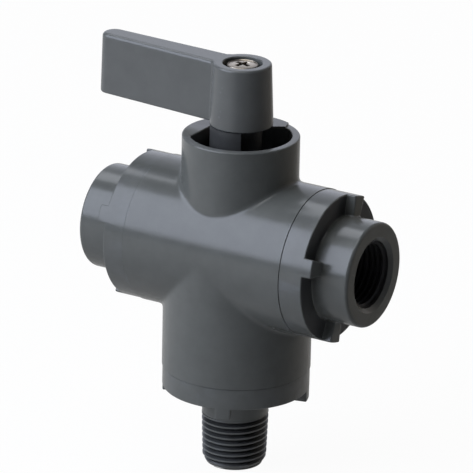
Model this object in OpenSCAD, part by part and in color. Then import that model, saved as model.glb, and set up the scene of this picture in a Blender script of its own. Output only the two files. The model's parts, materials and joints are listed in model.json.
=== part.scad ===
// Three-way ball valve for 1/8 inch pipe, all lengths in millimetres.
// The origin is the centre of the bottom nipple's end face.
// +Z runs up the stem, and +X runs along the run towards the right port.

/* [Body] */
// Outer diameter of the run tube and of the barrel below it
tube_d = 22.8; // [20.4:0.1:26]
// Distance from the valve's centre to the end of the run tube on each side
run_l = 13.8; // [12.5:0.1:18]
// Distance from the valve's centre down to the end of the barrel
barrel_l = 19.4; // [17.5:0.1:25]
// Diameter of the connectors' spigots, which plug into the tubes
spigot_d = 18; // [17:0.1:19]
// Length of a connector's spigot inside its tube
spigot_l = 3.8; // [2.5:0.1:4.2]

/* [Collar] */
// Outer diameter of the collar round the stem
collar_d = 17.9; // [17.6:0.1:20]
// Height of the collar's rim above the run's axis
collar_h = 17.7; // [16.5:0.1:22]
// Diameter of the pocket inside the collar
pocket_d = 15.4; // [15:0.1:16]
// Depth of the pocket below the rim
pocket_depth = 5.1; // [3.6:0.1:5.4]
// Distance from the stem's axis to the flat of each stop wall
stop_flat = 5.86; // [5.6:0.02:6.2]
// Height of the raised pad on the rear stop wall
pad_h = 0.3; // [0.2:0.05:0.9]
// Length of the raised pad along the stop wall
pad_l = 7.6; // [4:0.1:9]

/* [End connectors] */
// Step from the tube's surface down to a connector's ring
ring_step = 0.1; // [0:0.05:0.5]
// Width of the ring on the two side connectors
side_ring_w = 3.9; // [2.5:0.1:6]
// Width of the ring on the bottom connector
bottom_ring_w = 3.3; // [2:0.1:6]
// Diameter of the side connectors' hubs
hub_d = 16.2; // [14:0.1:16.4]
// Length of a hub beyond its ring
hub_l = 6.05; // [4:0.05:9]
// Radius of the round on a hub's outer edge
hub_round = 0.5; // [0.2:0.05:0.8]
// Number of spanner lugs on each ring
lug_count = 4; // [3:1:6]
// Width of a spanner lug on the side connectors
side_lug_w = 2.8; // [2:0.1:4]
// Height of a side connector's lug above its ring's face
side_lug_h = 1.5; // [0.8:0.1:2.5]
// Radial length of a side connector's lug, which runs into the hub
side_lug_l = 3.3; // [2:0.1:3.4]
// Width of a spanner lug on the bottom connector
bottom_lug_w = 2.5; // [2:0.1:4]
// Height of the bottom connector's lug above its ring's face
bottom_lug_h = 1.65; // [0.8:0.05:2.5]
// Radial length of the bottom connector's lug
bottom_lug_l = 2.6; // [1.5:0.1:3.2]
// Turn of the right connector's lugs about the run
right_lug_turn = -16.5; // [-45:0.5:45]
// Turn of the left connector's lugs about the run
left_lug_turn = 19; // [-45:0.5:45]
// Turn of the bottom connector's lugs about the barrel
bottom_lug_turn = -21; // [-45:0.5:45]

/* [Ports] */
// Diameter of the female thread's bore in a side port
port_d = 10.4; // [9:0.1:11]
// Depth of the female thread's bore
port_depth = 7.5; // [5:0.1:8.5]
// Width of the chamfer at a side port's mouth
port_chamfer = 0.55; // [0.2:0.05:1]
// Diameter over the crests of the bottom nipple's male thread
nipple_d = 10.28; // [9:0.02:13]
// Length of the nipple's threaded stretch, with its lead chamfer
nipple_thread_l = 8.6; // [6:0.1:14]
// Diameter of the plain neck where it meets the thread
neck_d = 10.2; // [8.8:0.1:13]
// Growth of the neck's radius up to the ring, for the mould's draft
neck_draft = 0.1; // [0.05:0.05:0.4]
// Length of the plain neck above the thread
neck_l = 4.1; // [2:0.1:8]
// Length of the lead chamfer at the nipple's end
lead_l = 1.6; // [0.5:0.1:3]
// Diameter of the nipple's end face
lead_d = 8.5; // [7:0.1:8.8]

/* [Ball and seats] */
// Diameter of the ball
ball_d = 13.2; // [12.8:0.1:13.2]
// Diameter of the waterway through the ball, seats and connectors
way_d = 5; // [3:0.1:5.2]
// Outer diameter of a ball seat
seat_d = 9.8; // [9.4:0.1:9.9]
// Distance from the ball's centre to a seat's inner face
seat_near = 5; // [5:0.05:5.3]
// Distance from the ball's centre to a seat's outer face
seat_far = 8; // [7.4:0.1:8.2]
// Cord thickness of the O-ring behind a seat
seat_ring_w = 0.9; // [0.6:0.05:1]
// Diameter of the O-ring behind a seat, to the middle of its cord
seat_ring_d = 7.9; // [7.4:0.1:8.2]
// Cord thickness of the O-ring at the foot of a spigot
body_ring_w = 1; // [0.7:0.05:1.1]
// Diameter of the O-ring at the foot of a spigot, to the middle of its cord
body_ring_d = 14.9; // [14.7:0.1:15.2]
// Distance from the ball's centre to the tip of a connector's nose
nose_near = 6.6; // [6.5:0.05:7]
// Wall between a connector's nose and the pocket for its seat
nose_wall = 1.35; // [1.1:0.05:1.35]

/* [Stem] */
// Diameter of the stem where it runs in the body
stem_d = 5.76; // [5.4:0.02:6]
// Diameter of the flange that keeps the stem in the body
flange_d = 7.2; // [6.8:0.1:8]
// Thickness of the stem's flange
flange_t = 1; // [0.7:0.05:1.1]
// Width of the tang that turns the ball
tang_w = 2.3; // [1.6:0.1:2.6]
// Length of the tang along the slot
tang_l = 6; // [4:0.1:6.4]
// Depth of the tang in the ball's slot
tang_depth = 1.6; // [1.2:0.1:1.8]
// Cord thickness of the stem's O-rings
stem_ring_w = 0.84; // [0.6:0.02:0.9]
// Distance between the stem's two O-rings
stem_ring_pitch = 1.7; // [1.5:0.1:1.8]
// Thickness of the thrust washer above the stem's flange
washer_t = 0.4; // [0.3:0.05:0.6]
// Diameter of the shank that carries the handle
shank_d = 4.8; // [4:0.1:5]
// Width across the shank's two flats
shank_flats = 3.4; // [3:0.1:3.8]
// Height of the shank above the handle's seat
shank_l = 12.6; // [8:0.1:13]

/* [Handle] */
// Turn of the lever at rest, where 180 points along the run to the left port
lever_turn = 176; // [0:1:180]
// Distance from the stem's axis to the lever's tip
lever_l = 26; // [18:0.2:40]
// Height of the lever's blade
blade_h = 9.55; // [8.5:0.05:12]
// Thickness of the blade beside the hub
blade_root_w = 4.9; // [3.5:0.1:6]
// Thickness of the blade at its tip
blade_tip_w = 3.7; // [2.4:0.1:5]
// Radius of the round along the blade's upper edges and round its nose
edge_round = 0.6; // [0.3:0.05:1]
// Diameter of the handle's hub at its foot
handle_hub_d = 9.7; // [9.5:0.1:10.4]
// Diameter of the handle's hub at its top
handle_top_d = 8.9; // [8:0.1:9.4]
// Diameter of the skirt that goes down into the pocket
skirt_d = 9.5; // [8.6:0.1:9.6]
// Clear height between the collar's rim and the lever
lever_gap = 1.85; // [1.2:0.05:4]
// Length of the stop lug, from the stem's axis to its end
stop_lug_l = 7.3; // [6.6:0.05:7.35]
// Width of the stop lug
stop_lug_w = 1.8; // [1.2:0.1:2.2]
// Height of the stop lug
stop_lug_h = 2.2; // [1:0.1:2.6]

/* [Handle screw] */
// Diameter of the screw's shank
screw_d = 2.5; // [2:0.1:2.6]
// Length of the screw under its head
screw_l = 9; // [5:0.5:10]
// Diameter of the screw's head
screw_head_d = 4.9; // [4:0.1:5.2]
// Height of the screw's head
screw_head_h = 1.7; // [1.5:0.1:1.9]
// Height of the straight side of the screw's head
screw_side_h = 1.1; // [0.6:0.1:1.2]
// Diameter of the counterbore in the handle's top
counterbore_d = 6; // [5.4:0.1:6.4]
// Depth of the counterbore
counterbore_depth = 1.9; // [1.9:0.1:2.6]

/* [Clearances] */
// Radial clearance of a plugged or slipped fit
fit = 0.05; // [0.03:0.01:0.1]
// Running clearance of turning pieces
run_gap = 0.07; // [0.05:0.01:0.1]
// Clearance between the ball and its seats
seat_gap = 0.03; // [0.02:0.01:0.06]
// Clearance between the ball and the chamber round it
ball_gap = 0.2; // [0.15:0.01:0.3]

/* [Hidden] */
$fn = 96;
// Overshoot that keeps the faces of a cut off the faces that it cuts
over = 0.5;

// Heights and reaches from the valve's centre
axis_h = barrel_l + bottom_ring_w + neck_l + nipple_thread_l;
side_shoulder = run_l - spigot_l;
bottom_shoulder = barrel_l - spigot_l;
ring_d = tube_d - 2 * ring_step;
side_face = run_l + side_ring_w;
port_face = side_face + hub_l;
pocket_floor = collar_h - pocket_depth;
chamber_d = ball_d + 2 * ball_gap;
chamber_top = ball_d / 2 + ball_gap;
tang_foot = ball_d / 2 - tang_depth;
flange_foot = chamber_top + ball_gap;
flange_top = flange_foot + flange_t;
washer_foot = flange_top + fit;
washer_top = washer_foot + washer_t;
recess_top = washer_top + fit;
recess_d = flange_d + 2 * run_gap;
stem_bore_d = stem_d + 2 * run_gap;
handle_foot = pocket_floor + 0.2;
lever_foot = collar_h + lever_gap;
lever_top = lever_foot + blade_h;

// Nose and seat pocket of a connector
seat_pocket_d = seat_d + 2 * fit;
side_nose_d = seat_pocket_d + 2 * nose_wall;
bottom_nose_d = chamber_d - 2 * ball_gap;
side_chamber_d = side_nose_d + 2 * ball_gap;
seat_pocket_end = seat_far + seat_ring_w;

// Grooves of the stem's O-rings, one pitch apart in the middle of its bore
stem_ring_d = stem_bore_d - 2 * fit - stem_ring_w;
stem_groove_d = stem_ring_d - stem_ring_w - 2 * fit;
stem_groove_w = stem_ring_w + 2 * fit;
lower_ring_z = (recess_top + pocket_floor - stem_ring_pitch) / 2;
upper_ring_z = lower_ring_z + stem_ring_pitch;

// Faces a child drawn along +Z towards one of the three ports
module to_right() translate([0, 0, axis_h]) rotate([0, 90, 0]) children();
module to_left() rotate([0, 0, 180]) to_right() children();
module to_bottom() translate([0, 0, axis_h]) rotate([180, 0, 0]) children();

// Places a child drawn about the valve's centre, unturned or at the lever's turn
module at_centre() translate([0, 0, axis_h]) children();
module at_lever() at_centre() rotate([0, 0, lever_turn]) children();

// A cylinder from one height to another along Z
module rod(d, z0, z1) translate([0, 0, z0]) cylinder(h = z1 - z0, d = d);

// A ring of round cord about Z
module cord_ring(d, w, z) {
    translate([0, 0, z]) rotate_extrude() translate([d / 2, 0]) circle(d = w, $fn = 48);
}

// What is cut from a square corner to leave a round of radius r, its corner at the origin
module corner_cut(r) {
    difference() {
        translate([-r, -r]) square(r + over);
        translate([-r, -r]) circle(r = r);
    }
}

// Spanner lugs of width w, height h and radial length l on a ring's face at height z
module lugs(z, turn, w, h, l) {
    intersection() {
        difference() {
            rod(ring_d, z - over, z + h);
            rod(ring_d - 2 * l, z - 2 * over, z + h + over);
        }
        for (i = [0 : lug_count - 1]) {
            rotate([0, 0, turn + i * 360 / lug_count])
            translate([0, -w / 2, z - over / 2])
            cube([ring_d, w, h + over]);
        }
    }
}

// The plugged end of a connector along +Z: nose, spigot and ring
module plug_end(shoulder, seam, face, nose_d) {
    rod(nose_d, nose_near, shoulder + over);
    rod(spigot_d, shoulder + fit, seam + over);
    rod(ring_d, seam, face);
}

// What is cut from a plugged end: waterway, seat pocket and the rebate for the body O-ring
module plug_cuts(shoulder, nose_d, end) {
    rod(way_d, nose_near - over, end + over);
    rod(seat_pocket_d, nose_near - over, seat_pocket_end);
    difference() {
        rod(body_ring_d + body_ring_w + 2 * fit, shoulder - over, shoulder + body_ring_w + fit);
        rod(nose_d, shoulder - 2 * over, shoulder + body_ring_w + 2 * fit);
    }
}

// A side connector along +Z, with a hub and a female thread's bore
module side_connector(lug_turn) {
    color("#5f6468")
    difference() {
        union() {
            plug_end(side_shoulder, run_l, side_face, side_nose_d);
            rod(hub_d, side_face - over, port_face);
            lugs(side_face, lug_turn, side_lug_w, side_lug_h, side_lug_l);
        }
        plug_cuts(side_shoulder, side_nose_d, port_face);
        rod(port_d, port_face - port_depth, port_face + over);
        translate([0, 0, port_face - port_chamfer])
        cylinder(h = port_chamfer + over, d1 = port_d, d2 = port_d + 2 * (port_chamfer + over));
        rotate_extrude() translate([hub_d / 2, port_face]) corner_cut(hub_round);
    }
}

// The bottom connector along +Z, with a neck and a male nipple
module bottom_connector() {
    ring_face = barrel_l + bottom_ring_w;
    color("#5f6468")
    difference() {
        union() {
            plug_end(bottom_shoulder, barrel_l, ring_face, bottom_nose_d);
            translate([0, 0, ring_face]) cylinder(h = neck_l, d1 = neck_d + 2 * neck_draft, d2 = neck_d);
            rod(nipple_d, ring_face + neck_l, axis_h - lead_l);
            translate([0, 0, axis_h - lead_l]) cylinder(h = lead_l, d1 = nipple_d, d2 = lead_d);
            lugs(ring_face, bottom_lug_turn, bottom_lug_w, bottom_lug_h, bottom_lug_l);
        }
        plug_cuts(bottom_shoulder, bottom_nose_d, axis_h);
    }
}

// A ball seat along +Z, dished to the ball's round
module ball_seat() {
    color("#e9e7df")
    difference() {
        rod(seat_d, seat_near, seat_far);
        rod(way_d, seat_near - over, seat_far + over);
        sphere(r = ball_d / 2 + seat_gap);
    }
}

// The O-ring that presses a seat onto the ball
module seat_o_ring() {
    color("#1d1d1d") cord_ring(seat_ring_d, seat_ring_w, seat_far + seat_ring_w / 2);
}

// The O-ring between a spigot and its shoulder in the body
module body_o_ring(shoulder) {
    color("#1d1d1d") cord_ring(body_ring_d, body_ring_w, shoulder + body_ring_w / 2);
}

// The stop wall that fills the pocket beyond a flat, drawn towards +Y
module stop_wall() {
    intersection() {
        rod(pocket_d + over, pocket_floor - over, collar_h);
        translate([-pocket_d, stop_flat, pocket_floor - over]) cube([2 * pocket_d, pocket_d, pocket_d]);
    }
}

// The raised pad on the rear stop wall, square-ended and flush with the collar behind
module rim_pad() {
    intersection() {
        rod(collar_d, collar_h - over, collar_h + pad_h);
        translate([-pad_l / 2, stop_flat, collar_h - over]) cube([pad_l, collar_d, collar_d]);
    }
}

// The moulded tee with its collar, bored for the connectors, ball and stem
module body() {
    color("#5f6468")
    at_centre()
    difference() {
        union() {
            difference() {
                union() {
                    rotate([0, 90, 0]) rod(tube_d, -run_l, run_l);
                    rod(tube_d, -barrel_l, 0);
                    rod(collar_d, 0, collar_h);
                }
                rod(pocket_d, pocket_floor, collar_h + over);
            }
            stop_wall();
            rotate([0, 0, 90]) stop_wall();
            rim_pad();
        }
        rod(chamber_d, -barrel_l, chamber_top);
        rod(recess_d, chamber_top - over, recess_top);
        rod(stem_bore_d, recess_top - over, pocket_floor + over);
        rotate([0, 90, 0]) rod(side_chamber_d, -run_l, run_l);
        rod(spigot_d + 2 * fit, -barrel_l - over, -bottom_shoulder);
        for (side = [-90, 90]) rotate([0, side, 0]) rod(spigot_d + 2 * fit, side_shoulder, run_l + over);
    }
}

// The ball, bored to an L: up from the bottom and out towards the lever
module ball() {
    slot_w = tang_w + 2 * fit;
    slot_l = tang_l + 2 * ball_gap;
    color("#6b7074")
    at_lever()
    difference() {
        sphere(d = ball_d);
        rod(way_d, -ball_d, way_d / 2);
        rotate([0, 90, 0]) rod(way_d, -way_d / 2, ball_d);
        translate([-slot_l / 2, -slot_w / 2, tang_foot - fit]) cube([slot_l, slot_w, ball_d]);
    }
}

// Two flats that leave a shank of the given width, from one height to another
module shank_shape(d, flats, z0, z1) {
    intersection() {
        rod(d, z0, z1);
        translate([-d, -flats / 2, z0 - over]) cube([2 * d, flats, z1 - z0 + 2 * over]);
    }
}

// The stem: tang, flange, running length with two grooves, and a flatted shank
module stem() {
    shank_top = handle_foot + shank_l;
    color("#6b7074")
    at_lever()
    difference() {
        union() {
            intersection() {
                rod(flange_d, tang_foot, flange_foot + flange_t / 2);
                translate([-tang_l / 2, -tang_w / 2, 0]) cube([tang_l, tang_w, flange_top]);
            }
            rod(flange_d, flange_foot, flange_top);
            rod(stem_d, flange_top - flange_t / 2, handle_foot);
            shank_shape(shank_d, shank_flats, handle_foot - over, shank_top);
        }
        for (z = [lower_ring_z, upper_ring_z]) {
            difference() {
                rod(stem_d + over, z - stem_groove_w / 2, z + stem_groove_w / 2);
                rod(stem_groove_d, z - stem_groove_w, z + stem_groove_w);
            }
        }
        rod(screw_d + 2 * fit, lever_top - counterbore_depth - screw_l - over, shank_top + over);
    }
}

// The washer between the stem's flange and the body
module stem_thrust_washer() {
    color("#e9e7df")
    at_centre()
    difference() {
        rod(flange_d, washer_foot, washer_top);
        rod(stem_bore_d, washer_foot - over, washer_top + over);
    }
}

module stem_o_ring(z) {
    color("#1d1d1d") at_centre() cord_ring(stem_ring_d, stem_ring_w, z);
}

// What rounds one upper edge of the blade, along the wedge's slanted side
module blade_edge_cut(nose_x) {
    slant = atan((blade_root_w - blade_tip_w) / 2 / nose_x);
    translate([0, blade_root_w / 2, lever_top])
    rotate([0, 0, -slant])
    rotate([90, 0, 90])
    linear_extrude(height = 2 * lever_l)
    corner_cut(edge_round);
}

// The blade: a wedge in plan that ends in a full round nose, with rounded upper edges
module blade() {
    nose_x = lever_l - blade_tip_w / 2;
    difference() {
        translate([0, 0, lever_foot])
        linear_extrude(height = blade_h)
        polygon([
            [0, -blade_root_w / 2],
            [nose_x, -blade_tip_w / 2],
            [nose_x, blade_tip_w / 2],
            [0, blade_root_w / 2]
        ]);
        blade_edge_cut(nose_x);
        mirror([0, 1, 0]) blade_edge_cut(nose_x);
    }
    translate([nose_x, 0, 0])
    rotate_extrude()
    difference() {
        translate([0, lever_foot]) square([blade_tip_w / 2, blade_h]);
        translate([blade_tip_w / 2, lever_top]) corner_cut(edge_round);
    }
}

// The handle: blade, tapered hub, skirt and the stop lug inside the pocket
module handle() {
    socket_top = handle_foot + shank_l + fit;
    color("#5f6468")
    at_lever()
    difference() {
        union() {
            blade();
            translate([0, 0, lever_foot]) cylinder(h = blade_h, d1 = handle_hub_d, d2 = handle_top_d);
            rod(skirt_d, handle_foot, lever_foot + over);
            rotate([0, 0, -135]) translate([0, -stop_lug_w / 2, handle_foot])
            cube([stop_lug_l, stop_lug_w, stop_lug_h]);
        }
        shank_shape(shank_d + 2 * fit, shank_flats + 2 * fit, handle_foot - over, socket_top);
        rod(screw_d + 2 * fit, socket_top - over, lever_top);
        rod(counterbore_d, lever_top - counterbore_depth, lever_top + over);
    }
}

// The screw: a pan head with a domed top on a plain shank
module handle_screw() {
    seat = lever_top - counterbore_depth;
    dome_rise = screw_head_h - screw_side_h;
    dome_r = (pow(screw_head_d / 2, 2) + pow(dome_rise, 2)) / (2 * dome_rise);
    color("#b5ac9c")
    at_centre()
    union() {
        rod(screw_d, seat - screw_l, seat + screw_side_h / 2);
        rod(screw_head_d, seat, seat + screw_side_h);
        intersection() {
            rod(screw_head_d, seat + screw_side_h / 2, seat + screw_head_h);
            translate([0, 0, seat + screw_head_h - dome_r]) sphere(r = dome_r);
        }
    }
}

body();
to_left() side_connector(left_lug_turn);  // left_end_connector
to_right() side_connector(right_lug_turn);  // right_end_connector
to_bottom() bottom_connector();  // bottom_end_connector
to_left() body_o_ring(side_shoulder);  // left_body_o_ring
to_right() body_o_ring(side_shoulder);  // right_body_o_ring
to_bottom() body_o_ring(bottom_shoulder);  // bottom_body_o_ring
to_left() ball_seat();  // left_ball_seat
to_right() ball_seat();  // right_ball_seat
to_bottom() ball_seat();  // bottom_ball_seat
to_left() seat_o_ring();  // left_seat_o_ring
to_right() seat_o_ring();  // right_seat_o_ring
to_bottom() seat_o_ring();  // bottom_seat_o_ring
ball();
stem();
stem_thrust_washer();
stem_o_ring(lower_ring_z);  // lower_stem_o_ring
stem_o_ring(upper_ring_z);  // upper_stem_o_ring
handle();
handle_screw();
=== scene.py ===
# %% [markdown]
# A small three-way ball valve.
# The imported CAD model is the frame: it says where each piece is and what moves.
# This lesson gives every moulded piece its rounded edges, threads and plastic finish, one piece at a time.
# All lengths in the cells are written in millimetres and turned into metres by MM.

# %% Load the frame
import json
import math

import bmesh
import bpy
from mathutils import Matrix, Vector


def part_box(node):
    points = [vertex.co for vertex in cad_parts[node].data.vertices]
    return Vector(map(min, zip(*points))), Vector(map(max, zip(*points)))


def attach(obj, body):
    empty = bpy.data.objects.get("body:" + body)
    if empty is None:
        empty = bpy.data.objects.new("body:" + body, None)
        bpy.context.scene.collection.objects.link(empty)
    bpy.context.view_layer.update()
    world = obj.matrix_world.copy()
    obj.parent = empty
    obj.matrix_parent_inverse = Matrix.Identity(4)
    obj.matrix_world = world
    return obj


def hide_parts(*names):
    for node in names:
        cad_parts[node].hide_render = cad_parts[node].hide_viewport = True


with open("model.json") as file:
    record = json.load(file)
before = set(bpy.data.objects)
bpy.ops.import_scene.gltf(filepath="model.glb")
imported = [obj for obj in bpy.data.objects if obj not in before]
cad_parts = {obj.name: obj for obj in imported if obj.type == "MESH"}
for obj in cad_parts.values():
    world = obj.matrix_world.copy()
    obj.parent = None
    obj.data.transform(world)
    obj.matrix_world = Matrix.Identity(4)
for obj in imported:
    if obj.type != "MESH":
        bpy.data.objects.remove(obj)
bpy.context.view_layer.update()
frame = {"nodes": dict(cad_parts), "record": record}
MM = 0.001

# %% [markdown]
# The frame gives the places that every piece shares: the height of the run's axis, the tube's radius,
# the seams between the body and its connectors, and the lever's height.
# Reading them here keeps the looks on the model's own sizes.

# %% Shared places, in millimetres
TOP_TRIM = 0.005
body_low, body_high = (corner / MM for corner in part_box("body"))
o_ring_low, o_ring_high = (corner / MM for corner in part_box("right_body_o_ring"))
port_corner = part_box("right_end_connector")[1] / MM
axis_h = (o_ring_low.z + o_ring_high.z) / 2
tube_r = body_high.y
run_end = body_high.x
barrel_end = axis_h - body_low.z
port_face = port_corner.x
ring_r = port_corner.y
lever_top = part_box("handle")[1].z / MM - TOP_TRIM
skirt_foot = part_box("handle")[0].z / MM
print(f"axis height {axis_h:.2f}, tube radius {tube_r:.2f}, run end {run_end:.2f}, lever top {lever_top:.2f}")

# %% [markdown]
# The camera stands where the photograph was taken from: a long lens from the front right, a little above.
# A track to the valve's centre gives the direction, and the last turn is the picture's small tilt.
# The shift moves the picture on the sensor, as a cropped print does.

# %% Camera
VIEW_AZIMUTH = 31.041
VIEW_ELEVATION = 20.188
VIEW_TILT = 1.2249
VIEW_DISTANCE = 835.6
VIEW_LENS = 418.5
SENSOR_WIDTH = 36
PHOTO_SIDE = 473
CENTRE_PIXEL = (238.75, 244.35)


def sky_direction(azimuth, elevation):
    """The unit vector from the valve to a place in the sky; azimuth 0 is in front, 90 to the right."""
    a, e = math.radians(azimuth), math.radians(elevation)
    return Vector((math.sin(a) * math.cos(e), -math.cos(a) * math.cos(e), math.sin(e)))


valve_centre = Vector((0, 0, axis_h * MM))
view_back = sky_direction(VIEW_AZIMUTH, VIEW_ELEVATION)
camera_data = bpy.data.cameras.new("camera")
camera_data.lens = VIEW_LENS
camera_data.sensor_width = SENSOR_WIDTH
camera_data.shift_x = (PHOTO_SIDE / 2 - CENTRE_PIXEL[0]) / PHOTO_SIDE
camera_data.shift_y = (CENTRE_PIXEL[1] - PHOTO_SIDE / 2) / PHOTO_SIDE
camera = bpy.data.objects.new("camera", camera_data)
bpy.context.scene.collection.objects.link(camera)
camera.location = valve_centre + view_back * VIEW_DISTANCE * MM
tracked = (-view_back).to_track_quat("-Z", "Y").to_matrix()
tilt = Matrix.Rotation(math.radians(VIEW_TILT), 3, "Z")
camera.rotation_euler = (tracked @ tilt).to_euler()
bpy.context.scene.camera = camera
print("camera at", [round(v, 3) for v in camera.location])

# %% [markdown]
# A moulded part is read by its highlights, so the light is four soft panels. Their places come from where
# the photograph shows bands of light on the tubes. The back panel only lifts the shaded side: mirrors
# leave it out, because its picture in them would be a sharp streak.

# %% Lights
bpy.context.scene.view_settings.view_transform = "Standard"
PANEL_DISTANCE = 0.6
# Name, azimuth, elevation, width, height, power, colour, seen in mirrors.
PANELS = (
    ("key_panel", -40, 33, 0.62, 0.534, 3.25, (0.89, 0.955, 1.13), True),
    ("left_panel", -120, 56, 0.22, 0.22, 0.35, (0.95, 0.98, 1.06), True),
    ("top_panel", -20, 78, 0.4, 0.3, 0.6, (1, 1, 1), True),
    ("back_panel", 160, 8, 0.3, 0.3, 1.8, (1.0, 0.88, 0.8), False),
)


def soft_panel(name, azimuth, elevation, width, height, power, colour, mirrored):
    """A rectangular soft light that faces the valve's centre; it may be left out of mirrors."""
    data = bpy.data.lights.new(name, "AREA")
    data.shape = "RECTANGLE"
    data.size, data.size_y = width, height
    data.energy = power
    data.color = colour
    light = bpy.data.objects.new(name, data)
    bpy.context.scene.collection.objects.link(light)
    direction = sky_direction(azimuth, elevation)
    light.location = valve_centre + direction * PANEL_DISTANCE
    light.rotation_euler = direction.to_track_quat("Z", "Y").to_euler()
    light.visible_camera = False
    light.visible_glossy = mirrored


for panel in PANELS:
    soft_panel(*panel)
print("panels:", [panel[0] for panel in PANELS])

# %% [markdown]
# The backdrop and the plastics are built from small shader nodes. Each helper places one node, and takes
# either another node's socket or a plain value.

# %% Shader helpers


def feed(tree, target, value):
    """Gives an input a link from another node's socket, or a plain value."""
    if isinstance(value, bpy.types.NodeSocket):
        tree.links.new(value, target)
    else:
        target.default_value = value


def combine_values(tree, operation, first, second):
    """A math node on two values."""
    node = tree.nodes.new("ShaderNodeMath")
    node.operation = operation
    feed(tree, node.inputs[0], first)
    feed(tree, node.inputs[1], second)
    return node.outputs["Value"]


def remap(tree, value, low, high, to_low=0.0, to_high=1.0):
    """Spreads a value from one span onto another, and clamps it there."""
    node = tree.nodes.new("ShaderNodeMapRange")
    feed(tree, node.inputs["Value"], value)
    for label, number in (("From Min", low), ("From Max", high), ("To Min", to_low), ("To Max", to_high)):
        node.inputs[label].default_value = number
    return node.outputs["Result"]


def mix_shaders(tree, share, first, second):
    """Mixes two shader outputs by a mask or a plain share."""
    node = tree.nodes.new("ShaderNodeMixShader")
    for target, value in zip(node.inputs, (share, first, second)):
        feed(tree, target, value)
    return node.outputs["Shader"]


def glow(tree, kind, strength, colour=(1, 1, 1)):
    """A background or an emission of a given strength."""
    node = tree.nodes.new(kind)
    node.inputs["Color"].default_value = (*colour, 1)
    feed(tree, node.inputs["Strength"], strength)
    return node.outputs[0]


def ray_masks(tree):
    """Masks of the camera's own rays, and of those that come by way of a mirror or through glass."""
    path = tree.nodes.new("ShaderNodeLightPath")
    through_glass = path.outputs["Is Transmission Ray"]
    mirrored = combine_values(tree, "MAXIMUM", path.outputs["Is Glossy Ray"], through_glass)
    return path.outputs["Is Camera Ray"], mirrored


print("shader helpers ready")

# %% [markdown]
# The camera sees a white world. Mirrors see a dim one with a single soft bright patch, low behind the
# valve, which the tubes reflect along their edges. The world adds almost no light of its own.

# %% World
ROOM_LEVEL = 0.01
MIRROR_LEVEL = 0.1
MIRROR_COLOUR = (0.92, 0.96, 1.1)
PATCH_PLACE = (213, 10)
PATCH_LEVEL = 0.95
PATCH_SHARPNESS = 8.0


def mirror_sky(tree):
    """What mirrors see of the world: a low level and the bright patch."""
    facing = tree.nodes.new("ShaderNodeVectorMath")
    facing.operation = "DOT_PRODUCT"
    feed(tree, facing.inputs[0], tree.nodes.new("ShaderNodeTexCoord").outputs["Generated"])
    feed(tree, facing.inputs[1], sky_direction(*PATCH_PLACE))
    front_side = combine_values(tree, "MAXIMUM", facing.outputs["Value"], 0.0)
    patch = combine_values(tree, "POWER", front_side, PATCH_SHARPNESS)
    patch = combine_values(tree, "MULTIPLY", patch, PATCH_LEVEL)
    return glow(tree, "ShaderNodeBackground", combine_values(tree, "ADD", patch, MIRROR_LEVEL), MIRROR_COLOUR)


world = bpy.data.worlds.new("studio")
bpy.context.scene.world = world
world.use_nodes = True
sky = world.node_tree
sky.nodes.clear()
sky_out = sky.nodes.new("ShaderNodeOutputWorld")
camera_ray, mirror_ray = ray_masks(sky)
unseen = mix_shaders(sky, mirror_ray, glow(sky, "ShaderNodeBackground", ROOM_LEVEL), mirror_sky(sky))
seen = mix_shaders(sky, camera_ray, unseen, glow(sky, "ShaderNodeBackground", 1.0))
feed(sky, sky_out.inputs["Surface"], seen)
print("world:", len(sky.nodes), "nodes")

# %% [markdown]
# The floor is a grey paint that keeps the valve's shadow. The camera sees it washed almost to white, and
# mirrors see it bright on the left and dark on the right, as the photograph's reflections are.

# %% Floor
FLOOR_DROP = 0.2
FLOOR_SIZE = 3.0
FLOOR_GREY = 0.5
FLOOR_ROUGHNESS = 0.8
FLOOR_MIRROR = (-0.07, 0.06, 0.6, 0.08)
WASH_SHARE = 0.9
WASH_LEVEL = 1.06

floor_mesh = bmesh.new()
bmesh.ops.create_grid(floor_mesh, x_segments=2, y_segments=2, size=FLOOR_SIZE)
bmesh.ops.translate(floor_mesh, verts=floor_mesh.verts, vec=(0, 0, -FLOOR_DROP * MM))
floor_data = bpy.data.meshes.new("floor")
floor_mesh.to_mesh(floor_data)
floor_mesh.free()
floor = bpy.data.objects.new("floor", floor_data)
bpy.context.scene.collection.objects.link(floor)
floor_paint = bpy.data.materials.new("pale_floor")
floor_paint.use_nodes = True
floor_tree = floor_paint.node_tree
paint = floor_tree.nodes["Principled BSDF"]
paint.inputs["Base Color"].default_value = (FLOOR_GREY, FLOOR_GREY, FLOOR_GREY, 1)
paint.inputs["Roughness"].default_value = FLOOR_ROUGHNESS
camera_ray, mirror_ray = ray_masks(floor_tree)
floor_place = floor_tree.nodes.new("ShaderNodeSeparateXYZ")
feed(floor_tree, floor_place.inputs["Vector"], floor_tree.nodes.new("ShaderNodeTexCoord").outputs["Object"])
mirror_strength = remap(floor_tree, floor_place.outputs["X"], *FLOOR_MIRROR)
mirrored_floor = glow(floor_tree, "ShaderNodeEmission", mirror_strength)
unseen = mix_shaders(floor_tree, mirror_ray, paint.outputs["BSDF"], mirrored_floor)
wash = glow(floor_tree, "ShaderNodeEmission", WASH_LEVEL)
washed = mix_shaders(floor_tree, WASH_SHARE, paint.outputs["BSDF"], wash)
seen = mix_shaders(floor_tree, camera_ray, unseen, washed)
feed(floor_tree, floor_tree.nodes["Material Output"].inputs["Surface"], seen)
floor_data.materials.append(floor_paint)
print("floor:", len(floor_tree.nodes), "nodes in its paint")

# %% [markdown]
# Moulded parts are mostly turned shapes, so the first helper is a lathe: a closed outline in radius and
# height is spun once round Z. Rounds are short arcs in the outline, so they follow the turn exactly.
# The other helpers make plain tubes, move and join meshes, and slice them along a plane.

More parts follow.
